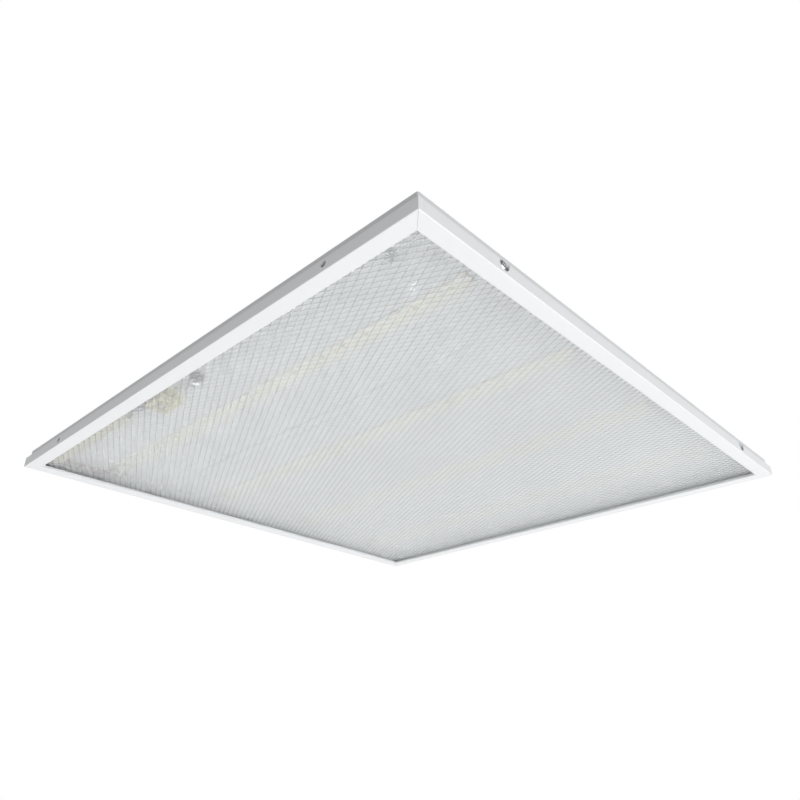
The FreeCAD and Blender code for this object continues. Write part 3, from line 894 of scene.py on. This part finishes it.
@dataclass
class Lens:
    """Clear sheet whose lower face is a field of lozenge prisms."""

    shop: Workshop
    edge: float = 291.95
    tip: float = 3
    shoulder: float = 3.3
    root: float = 3.95
    top: float = 5
    pitch: float = 6.56
    row: float = 6.35
    ridge: float = 0.4
    groove: float = 0.42

    def cell(self) -> Piece:
        """One prism: a low point on a lozenge with clipped ends, between steep grooves."""
        flat, wide, tall = self.ridge, self.pitch / 2 - self.ridge, self.row
        shrink = 1 - self.groove / (wide * tall / math.hypot(wide, tall))
        item = Solid()
        rims = [item.ring((x * part, y * part, z) for x, y in (
            (flat, -tall), (wide, 0), (flat, tall), (-flat, tall), (-wide, 0), (-flat, -tall)))
            for part, z in ((1, self.root), (shrink, self.shoulder))]
        item.stack([*rims, item.ring([(0, 0, self.tip)])], capped=False)
        return item.made("prism_cell")

    def build(self) -> None:
        """Builds the prism field, trims it to the sheet and closes the sheet over it."""
        columns = int(self.edge * 2 / self.pitch) + 3
        rows = int(self.edge * 2 / self.row) + 4
        field = self.shop.repeat.run(
            "prismatic_lens", self.cell(), (columns, rows), (self.pitch, self.row), (0, 0, 0),
            self.shop.finish["lens"], self.pitch / 2, weld=0.01)
        sheet = bmesh.new()
        sheet.from_mesh(field.data)
        for axis in (0, 1):
            for side in (-1, 1):
                normal = Vector((0, 0, 0))
                normal[axis] = side
                bmesh.ops.bisect_plane(
                    sheet, geom=[*sheet.verts, *sheet.edges, *sheet.faces],
                    plane_co=normal * self.edge * MM, plane_no=normal, clear_outer=True)
        rim = [edge for edge in sheet.edges if edge.is_boundary]
        raised = bmesh.ops.extrude_edge_only(sheet, edges=rim)["geom"]
        for vert in (item for item in raised if isinstance(item, bmesh.types.BMVert)):
            vert.co.z = self.top * MM
        edges = [item for item in raised if isinstance(item, bmesh.types.BMEdge)]
        bmesh.ops.contextual_create(sheet, geom=edges)
        bmesh.ops.recalc_face_normals(sheet, faces=sheet.faces)
        sheet.to_mesh(field.data)
        sheet.free()
        shade(field.data, 8)
        self.shop.add(field, "lens", "diffuser", body=Body.COVER)


@dataclass
class Tray:
    """Folded steel tray with pressed beads and its holes."""

    shop: Workshop
    half: float = 294.5
    bend: float = 1.0
    corner: float = 1.0
    bead_wide: float = 6
    bead_long: float = 200
    bead_high: float = 1.2
    sheet: float = 0.6
    rivet: float = 1.7
    fixing: float = 1.65
    hanger: float = 2.25
    hanger_reach: float = 230
    shank: float = 2.05

    def bead(self, x: float, inset: float) -> list[Point]:
        """Outline of a pressed bead."""
        wide, long = self.bead_wide + 0.6 - inset, self.bead_long + 6.6 - inset
        return [*arc(x, long - wide, wide, 0, 180, 10), *arc(x, wide - long, wide, 180, 360, 10)]

    def holes(self) -> list[list[Point]]:
        """Outlines of the holes in the tray's back."""
        size, out = self.shop.sizes, (-self.hanger_reach, self.hanger_reach)
        first = -size.strip_step * 1.5
        rivets = [circle(first + size.strip_step * i, size.rivet_reach * j, self.rivet, 12)
                  for i in range(4) for j in (-1, 0, 1)]
        hangers = [circle(x, y, self.hanger, 20) for x in out for y in out]
        entry, driver = size.entry_x, size.driver_x
        screws = ((entry, size.block_y), (entry - size.clamp_reach, size.clamp_y),
                  (entry + size.clamp_reach, size.clamp_y),
                  (driver, size.driver_start - size.driver_ear),
                  (driver, size.driver_end + size.driver_ear))
        fixings = [circle(x, y, self.fixing, 12) for x, y in screws]
        cable, earth = circle(entry, size.cable_y, 5.7, 32), circle(-264, -242, 2, 16)
        return [*rivets, *hangers, *fixings, cable, earth]

    def build(self) -> None:
        """Builds the tray from its outer surface, thickened inwards."""
        size = self.shop.sizes
        shell = Solid()
        levels = [(0, size.skin), (0, size.depth - self.bend)]
        levels += [(self.bend - self.bend * math.cos(math.radians(a)),
                    size.depth - self.bend + self.bend * math.sin(math.radians(a)))
                   for a in (22.5, 45, 67.5, 90)]
        rings = []
        for inset, level in levels:
            reach, radius = self.half - inset, self.corner + self.bend - inset
            outline = soft_block(-reach, -reach, reach, reach, radius)
            rings.append(shell.ring((x, y, level) for x, y in outline))
        shell.stack(rings, capped=False)
        feet = []
        for x in (-size.strip_step, 0, size.strip_step):
            steps = [shell.ring((u, v, level) for u, v in self.bead(x, inset))
                     for inset, level in ((-0.6, size.depth), (0, size.depth + 0.25),
                                          (1.2, size.depth + self.bead_high - 0.2),
                                          (1.8, size.depth + self.bead_high))]
            shell.stack(steps, capped=False)
            shell.cap(steps[-1])
            feet.append(steps[0])
        feet += [shell.ring((x, y, size.depth) for x, y in loop) for loop in self.holes()]
        shell.cap(rings[-1], *feet)
        piece = modified(shell.made("tray_shell"), "SOLIDIFY", thickness=self.sheet * MM, offset=-1)
        walls = ((Plane.FRONT, size.screw_level, self.shank, 20),
                 (Plane.SIDE, size.hole_level, size.hole, 28))
        cut = Solid()
        for along in (-size.fix_reach, size.fix_reach):
            for plane, level, radius, steps in walls:
                for start in (-300, 290):
                    cut.plate(plane, circle(along, level, radius, steps), start, start + 10)
        carve(piece, cut)
        # Its own finish carries painted shade on the outer walls.
        piece.data.materials.append(self.shop.finish["tray_powder"])
        self.shop.add(even(piece), "white_powder", "tray")


class Drive(Enum):
    """Recess in a screw's head."""

    CROSS = "cross"
    SLOT = "slot"


@dataclass
class Screw:
    """Pan head screw, drawn head down with its seat at zero depth."""

    head: float
    tall: float
    shank: float
    long: float
    drive: Drive = Drive.CROSS
    pitch: float = 0.7

    def profile(self) -> list[Point]:
        """Radius and depth from the head's middle to the tip."""
        rows: list[Point] = [(0, -self.tall), (self.head * 0.45, -self.tall * 0.97),
                             (self.head * 0.75, -self.tall * 0.84),
                             (self.head * 0.93, -self.tall * 0.58), (self.head, -self.tall * 0.28),
                             (self.head, -0.12), (self.head - 0.12, 0), (self.shank, 0)]
        turns = max(2, int((self.long - 1) / self.pitch))
        for turn in range(turns):
            base = 0.4 + turn * self.pitch
            rows += [(self.shank * 0.86, base), (self.shank, base + self.pitch * 0.5)]
        return [*rows, (self.shank * 0.86, self.long - 0.4), (self.shank * 0.6, self.long),
                (0, self.long)]

    def build(self, name: str, plane: Plane = Plane.FLAT, steps: int = 24) -> Piece:
        """The screw at the origin, with its recess cut."""
        piece = Solid().lathe(plane, (0, 0), self.profile(), steps).made(name)
        wide, arm, low = self.head * 0.12, self.head * 0.52, -self.tall - 1
        if self.drive is Drive.SLOT:
            bar = block(-self.head - 1, -wide, self.head + 1, wide)
            return carve(piece, Solid().plate(plane, bar, low, -self.tall + 0.8))
        for across in (False, True):
            ends = block(-arm, -wide, arm, wide)
            ends = [(v, u) for u, v in ends] if across else ends
            tip = [(u * 0.45, v * 0.45) for u, v in ends]
            levels = ((ends, low), (ends, -self.tall), (tip, -self.tall + 1.1))
            cut = Solid()
            cut.stack([cut.ring(plane.spot(u, v, depth) for u, v in loop)
                       for loop, depth in levels])
            carve(piece, cut)
        return piece


@dataclass
class SideScrews:
    """Four zinc screws that carry the cover, and the nuts behind them."""

    shop: Workshop

    def build(self) -> None:
        """Builds each screw on its own body."""
        size = self.shop.sizes
        spots = ((Body.SCREW_1, -1, -1), (Body.SCREW_2, -1, 1), (Body.SCREW_3, 1, 1),
                 (Body.SCREW_4, 1, -1))
        for number, (body, side, along) in enumerate(spots, 1):
            piece = Screw(4.1, 2.5, 2, 6.3).build(f"cover_screw_{number}", Plane.FRONT, 32)
            turn = Matrix.Rotation(0 if side < 0 else math.pi, 4, "Z")
            spin = Matrix.Rotation(0.35 + number, 4, "Y")
            seat = shift(size.fix_reach * along, (size.half - 3) * side, size.screw_level)
            piece.data.transform(seat @ turn @ spin)
            self.shop.add(piece, "zinc", f"side_screw_{number}", body=body)
        self.shop.dress("zinc", "side_nuts")


@dataclass
class LightStrips:
    """Four LED strips with their packages, rivets and sockets."""

    shop: Workshop
    chips: int = 28

    def package(self) -> Piece:
        """White LED package with a well for its phosphor."""
        item, level = Solid(), self.shop.sizes.board_low
        loops = ((1.4, 1.75, 0), (1.4, 1.75, 0.45), (1.3, 1.65, 0.65), (1.05, 1.4, 0.65),
                 (0.95, 1.3, 0.5))
        item.stack([item.ring((x, y, level - drop) for x, y in block(-wide, -long, wide, long))
                    for wide, long, drop in loops])
        return item.made("package")

    def gel(self) -> Piece:
        """Phosphor cushion in the well."""
        item, level = Solid(), self.shop.sizes.board_low
        loops = ((0.95, 1.3, 0.45), (1.0, 1.35, 0.58), (0.55, 0.9, 0.69))
        item.stack([item.ring((x, y, level - drop)
                              for x, y in soft_block(-wide, -long, wide, long, 0.3, 2))
                    for wide, long, drop in loops])
        return item.made("gel", angle=70)

    def resistor(self) -> Piece:
        """Small driver chip between two packages."""
        item, level = Solid(), self.shop.sizes.board_low
        item.plate(Plane.FLAT, block(-0.8, -1.25, 0.8, 1.25), level - 0.55, level)
        return soften(item.made("chip"), 0.12, 1)

    def rivet(self) -> Piece:
        """Nylon push rivet, domed below and spread above."""
        size = self.shop.sizes
        low, high = size.board_low, size.depth
        rows = [(0, low - 0.9), (1.3, low - 0.84), (2.2, low - 0.6), (2.7, low - 0.2), (2.7, low),
                (1.62, low), (1.62, high), (2.2, high + 0.1), (2.0, high + 0.5),
                (0.9, high + 0.9), (0, high + 0.7)]
        return Solid().lathe(Plane.FLAT, (0, 0), rows, 16).made("rivet")

    def socket(self) -> Piece:
        """Push-in lead socket with four openings."""
        low = self.shop.sizes.board_low - 3.4
        outline = [(-5.5, -5), (-4.5, -6), (4.5, -6), (5.5, -5), (5.5, 6), (-5.5, 6)]
        item = Solid().plate(Plane.FLAT, outline, low, low + 3.4).made("socket")
        cut = Solid()
        for lane in (-4.2, -1.6, 1.6, 4.2):
            cut.plate(Plane.FRONT, block(lane - 0.88, low + 0.85, lane + 0.88, low + 2.6), 2.8, 7)
            cut.plate(Plane.FLAT, block(lane - 0.5, -3.4, lane + 0.5, 0.4), low - 1, low + 0.7)
        return soften(carve(item, cut), 0.18, 1)

    def build(self) -> None:
        """Builds what sits on each board and dresses the boards."""
        shop, size = self.shop, self.shop.sizes
        step, pitch, still = size.strip_step, size.chip_step, (0, 0, 0)
        for number in range(1, 5):
            shop.dress("board", f"led_strip_{number}")
            run = (1, self.chips), (0, pitch), (-step * 1.5 + step * (number - 1), 0, 0)
            shop.scatter(f"led_packages_{number}", self.package(), *run, "white_nylon",
                         f"led_chips_{number}", finish="package")
            shop.scatter(f"led_phosphor_{number}", self.gel(), *run, "phosphor")
        shop.scatter("strip_resistors", self.resistor(), (4, 3), (step, pitch * 8), (0, pitch, 0),
                     "seal")
        shop.scatter("push_rivets", self.rivet(), (4, 3), (step, size.rivet_reach), still,
                     "white_nylon", "strip_rivets")
        shop.scatter("lead_sockets", self.socket(), (4, 1), (step, 0.001),
                     (0, size.strip_half - 9, 0), "white_nylon", "strip_sockets")


@dataclass
class Wiring:
    """Leads between the strips, the driver, the terminal block and the earth stud."""

    shop: Workshop
    radius: float = 0.8
    strip_level: float = 15.7
    mains_level: float = 14.4

    def lead(self, name: str, slot: str, node: str, *runs: Sequence[Sequence[float]]) -> None:
        """Builds one lead, or several that stand for one node."""
        item = Solid()
        for run in runs:
            item.tube(wire_path(run), self.radius, 12)
        self.shop.add(item.made(name), slot, node)

    def build(self) -> None:
        """Builds every lead along the route that its CAD solid has."""
        size, level, mains = self.shop.sizes, self.strip_level, self.mains_level
        start, first = size.strip_half - 4.5, -size.strip_step * 1.5
        for number in range(3):
            left = first + size.strip_step * number
            right, runs = left + size.strip_step, []
            for lane, far, sag in ((1.6, 15, 1.6), (4.2, 12.4, 2.4)):
                a, b, high = left + lane, right - lane, size.strip_half + far
                runs.append([(a, start, level), (a, start + 7, level), (a, high, level - 0.5),
                             (a + 24, high + 0.4, level - sag), (b - 24, high + 0.4, level - sag),
                             (b, high, level - 0.5), (b, start + 7, level), (b, start, level)])
            self.lead(f"jumper_{number + 1}", "white_lead", f"jumper_leads_{number + 1}", *runs)
        for name, slot, lane, far, finish in (("positive", "red_lead", -4.2, 19, -269.5),
                                              ("negative", "black_lead", -1.6, 21.6, -272.2)):
            begin, high = first + lane, size.strip_half + far
            self.lead(f"driver_output_{name}", slot, f"output_lead_{name}", [
                (begin, start, level), (begin, start + 8, level), (begin, high, level - 0.4),
                ((begin + finish) / 2, high, level - 1.2), (finish, high, level),
                (finish, 276, level)])
        for name, slot, lane, far, finish in (("line", "brown_lead", -270, 9, -286.3),
                                              ("neutral", "blue_lead", -262, 13, -271.3)):
            self.lead(f"mains_{name}", slot, f"{name}_lead", [
                (lane, 69, mains), (lane, 84, mains), (lane, 81 + far, mains - 0.6),
                (finish, 81 + far, mains - 0.6), (finish, 106, mains), (finish, 113.5, mains)])
        self.lead("earth_bond", "earth_cover", "earth_lead", [
            (-284, -240.5, mains), (-284, -225, mains), (-284.3, -160, mains - 1.4),
            (-283.6, -60, mains - 1.8), (-284, 20, mains - 0.8), (-284, 41, mains),
            (-254, 41, mains), (-254, 48, mains), (-254, 61, mains)])


@dataclass
class Driver:
    """Plastic driver case, its lid and two screws."""

    shop: Workshop
    half: float = 12.5
    low: float = 7.4
    ear: float = 1.6

    def case(self) -> Piece:
        """Case with a screw ear at each end."""
        size = self.shop.sizes
        left, right, step = size.driver_x - self.half, size.driver_x + self.half, self.low + 2.5
        case = Solid().plate(Plane.FRONT, [
            (left, size.roof), (left, step), (left + 1, step), (right - 1, step),
            (right, step + 1.5), (right, size.roof)], size.driver_start, size.driver_end)
        ears = Solid()
        for low, high, eye in (
                (size.driver_start - 9, size.driver_start + 1, size.driver_start - size.driver_ear),
                (size.driver_end - 1, size.driver_end + 9, size.driver_end + size.driver_ear)):
            ears.plate(Plane.FLAT, soft_block(size.driver_x - 6, low, size.driver_x + 6, high, 1.5),
                       size.roof - self.ear, size.roof - 0.001,
                       [circle(size.driver_x, eye, 1.65, 20)])
        return soften(carve(case.made("driver_body"), ears, "UNION"), 0.25)

    def lid(self) -> Piece:
        """Lid with four shallow slots and two seams."""
        size, low = self.shop.sizes, self.low
        left, right, step = size.driver_x - self.half, size.driver_x + self.half, low + 2.5
        lid = Solid().plate(Plane.FRONT, [
            (left, step), (left, low + 0.8), (left + 0.8, low), (right - 2.2, low),
            (right - 1, step)], size.driver_start, size.driver_end)
        cuts = Solid()
        for row in range(4):
            y = size.driver_start + 6 + 9 * row
            slot = soft_block(size.driver_x - 8, y, size.driver_x + 8, y + 1.5, 0.7)
            cuts.plate(Plane.FLAT, slot, low - 1, low + 0.6)
        for y in (size.driver_start + 46, size.driver_end - 8):
            cuts.plate(Plane.FLAT, block(left - 1, y, right + 1, y + 0.4), low - 1, low + 0.25)
        return soften(carve(lid.made("driver_cover"), cuts), 0.2)

    def build(self) -> None:
        """Builds the case and its lid, and fixes them."""
        shop, size = self.shop, self.shop.sizes
        shop.add(self.case(), "driver_shell", "driver_case")
        shop.add(self.lid(), "driver_shell", "driver_lid")
        start, end = size.driver_start, size.driver_end
        shop.scatter("driver_fixings", Screw(2.75, 2, 1.6, 3.8).build("pan"), (1, 2),
                     (0.001, end - start + size.driver_ear * 2),
                     (size.driver_x, (start + end) / 2, size.roof - self.ear),
                     "zinc", "driver_screws")


@dataclass
class MainsEntry:
    """Terminal block, cable clamp, grommet and earth point."""

    shop: Workshop
    block_reach: float = 16
    lane: float = 8
    saddle: float = 2

    def block(self) -> Piece:
        """Three-way terminal block with its grooves, wells and lead openings."""
        size = self.shop.sizes
        x, y, roof, low = size.entry_x, size.block_y, size.roof, size.roof - 10
        start, end = y - self.block_reach, y + self.block_reach
        body = Solid().plate(Plane.SIDE, [
            (start, roof), (start, low + 3), (start + 4, low), (end - 4, low), (end, low + 3),
            (end, roof)], x - 12, x + 12)
        piece = soften(body.made("terminal_body"), 0.35)
        grooves, wells, ways = Solid(), Solid(), Solid()
        for line in (x - self.lane / 2, x + self.lane / 2):
            grooves.plate(Plane.FLAT, block(line - 0.6, start - 1, line + 0.6, end + 1),
                          low - 1, low + 4)
        for line in (x - self.lane, x, x + self.lane):
            for well in (start + 8, end - 8):
                wells.plate(Plane.FLAT, circle(line, well, 2.3, 24), low - 1, low + 5.4)
            ways.plate(Plane.FRONT, circle(line, roof - 4, 1.0, 16), start - 1, end + 1)
        ways.plate(Plane.FLAT, circle(x, y, 1.65, 20), low - 2, roof + 1)
        return carve(carve(carve(piece, grooves), wells), ways)

    def clamp(self) -> Piece:
        """Nylon saddle that holds the cable's jacket."""
        size, roof = self.shop.sizes, self.shop.sizes.roof
        saddle = Solid().plate(Plane.FRONT, [
            (-12.5, roof), (-12.5, roof - 2), (-6, roof - 2), (-4.5, roof - 8), (4.5, roof - 8),
            (6, roof - 2), (12.5, roof - 2), (12.5, roof), (5, roof), (3.2, roof - 6.4),
            (-3.2, roof - 6.4), (-5, roof)], -3.5, 3.5).made("cable_saddle")
        eyes = Solid()
        for x in (-size.clamp_reach, size.clamp_reach):
            eyes.plate(Plane.FLAT, circle(x, 0, 1.65, 20), roof - 3, roof + 1)
        soften(carve(saddle, eyes), 0.3)
        saddle.data.transform(shift(size.entry_x, size.clamp_y))
        return saddle

    def grommet(self) -> Piece:
        """Rubber grommet with round lips."""
        roof, depth, bore = self.shop.sizes.roof, self.shop.sizes.depth, 3.7
        rows = [(bore, roof - 1.6), (bore + 0.5, roof - 2), *arc(6.6, roof - 1.05, 0.95, 270, 405, 6),
                (5.6, roof), (5.6, depth), (7.3, depth), *arc(6.55, depth + 0.85, 0.72, 0, 90, 4),
                (bore + 0.4, depth + 1.6), (bore, depth + 1.3)]
        spot = (self.shop.sizes.entry_x, self.shop.sizes.cable_y)
        return Solid().lathe(Plane.FLAT, spot, rows, 40, closed=True).made("entry_seal")

    def build(self) -> None:
        """Builds the mains end."""
        shop, size = self.shop, self.shop.sizes
        x, y, roof = size.entry_x, size.block_y, size.roof
        shop.add(self.block(), "block_shell", "terminal_block")
        shop.scatter("terminal_pins", Screw(2.1, 1.6, 1.4, 1.8, Drive.SLOT).build("pin"), (3, 2),
                     (self.lane, self.block_reach), (x, y, roof - 7), "brass", "terminal_screws")
        fixing = Screw(2.75, 1.8, 1.6, 11.8).build("terminal_fix")
        fixing.data.transform(shift(x, y, roof - 10))
        shop.add(fixing, "zinc", "terminal_fixing")
        shop.add(self.clamp(), "white_nylon", "cable_clamp")
        shop.scatter("saddle_screws", Screw(2.75, 2, 1.6, 4.2).build("pan"), (2, 1),
                     (size.clamp_reach * 2, 0.001), (x, size.clamp_y, roof - self.saddle),
                     "zinc", "clamp_screws")
        shop.add(self.grommet(), "seal", "cable_grommet")
        shop.dress("zinc", "earth_stud", "earth_washer", "earth_tag", "earth_nut")


@dataclass
class Studio:
    """Camera at the photograph's viewing angle, soft lights, and a pale floor far below."""

    place: tuple[float, float, float] = (-0.5382, -0.5142, -0.2982)
    ahead: tuple[float, float, float] = (0.6392, 0.6144, 0.4625)
    across: tuple[float, float, float] = (0.6917, -0.7222, 0.0035)
    lens: float = 31.955
    floor: float = -1.5

    def camera(self) -> None:
        """Adds the camera."""
        data = bpy.data.cameras.new("camera")
        data.lens, data.sensor_width = self.lens, 36
        data.clip_start, data.clip_end = 0.01, 100
        camera = placed("camera", data)
        back = -Vector(self.ahead).normalized()
        right = (Vector(self.across) - back * back.dot(Vector(self.across))).normalized()
        turn = Matrix((right, back.cross(right), back)).transposed().to_4x4()
        camera.matrix_world = Matrix.Translation(self.place) @ turn
        bpy.context.scene.camera = camera

    def lamp(self, name: str, place: Sequence[float], aim: Sequence[float], size: float,
             power: float, mirrored: bool = True) -> None:
        """Adds a soft square light.

        Args:
            name: its name.
            place: where it stands, in metres.
            aim: what it points at.
            size: side of the light.
            power: watts.
            mirrored: whether gloss shows it.
        """
        data = bpy.data.lights.new(name, "AREA")
        data.shape, data.size, data.energy = "SQUARE", size, power
        light = placed(name, data)
        light.location = place
        light.visible_glossy = mirrored
        light.visible_camera = False
        way = Vector(aim) - Vector(place)
        light.rotation_euler = way.to_track_quat("-Z", "Y").to_euler()

    def build(self) -> None:
        """Sets the studio up."""
        self.camera()
        world = bpy.data.worlds.new("studio")
        world.use_nodes = True
        world.node_tree.nodes.clear()
        graph = Graph(world.node_tree)
        seen = graph.node("ShaderNodeLightPath", output="Is Camera Ray")
        way = graph.node("ShaderNodeSeparateXYZ", {}, {
            0: graph.node("ShaderNodeTexCoord", output="Generated")}, output="Y")
        side = way * 0.5 + 0.5
        light = graph.node("ShaderNodeMix", {"data_type": "RGBA"}, {
            0: seen, 6: (0.98, 0.99, 1.0, 1), 7: (1, 1, 1, 1)}, output=2)
        strength = (side * side * 0.56 + 0.12).larger(seen)
        glow = graph.node("ShaderNodeBackground", {}, {"Color": light, "Strength": strength})
        graph.node("ShaderNodeOutputWorld", {}, {"Surface": glow})
        bpy.context.scene.world = world
        bpy.context.scene.view_settings.view_transform = "Standard"
        self.lamp("key", (0.6, -2.2, -0.4), (0, 0, 0), 1.4, 30)
        self.lamp("above", (0.4, 1.0, 2.4), (0, 0, 0), 2.0, 30, False)
        paint = Paint("floor")
        ground = paint.close({
            "Base Color": paint.mixed(paint.noise(3, 2), (0.88, 0.88, 0.87), (0.92, 0.92, 0.91)),
            "Emission Color": (1, 1, 1, 1), "Emission Strength": 0.58,
            "Roughness": 0.7})
        plane = Solid()
        plane.cap(plane.ring((x, y, self.floor / MM) for x, y in block(-9e3, -9e3, 9e3, 9e3)))
        plane.made("floor", ground)


def main() -> None:
    """Builds the light and its studio in order, and notes how large it came out."""
    logging.basicConfig(level=logging.INFO, format="%(name)s: %(message)s")
    shop = Workshop(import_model())
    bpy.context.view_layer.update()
    Studio().build()
    for part in (Bezel, Lens, Tray, SideScrews, LightStrips, Wiring, Driver, MainsEntry):
        part(shop).build()
        LOG.info("%s done", part.__name__)


if __name__ == "__main__":
    main()
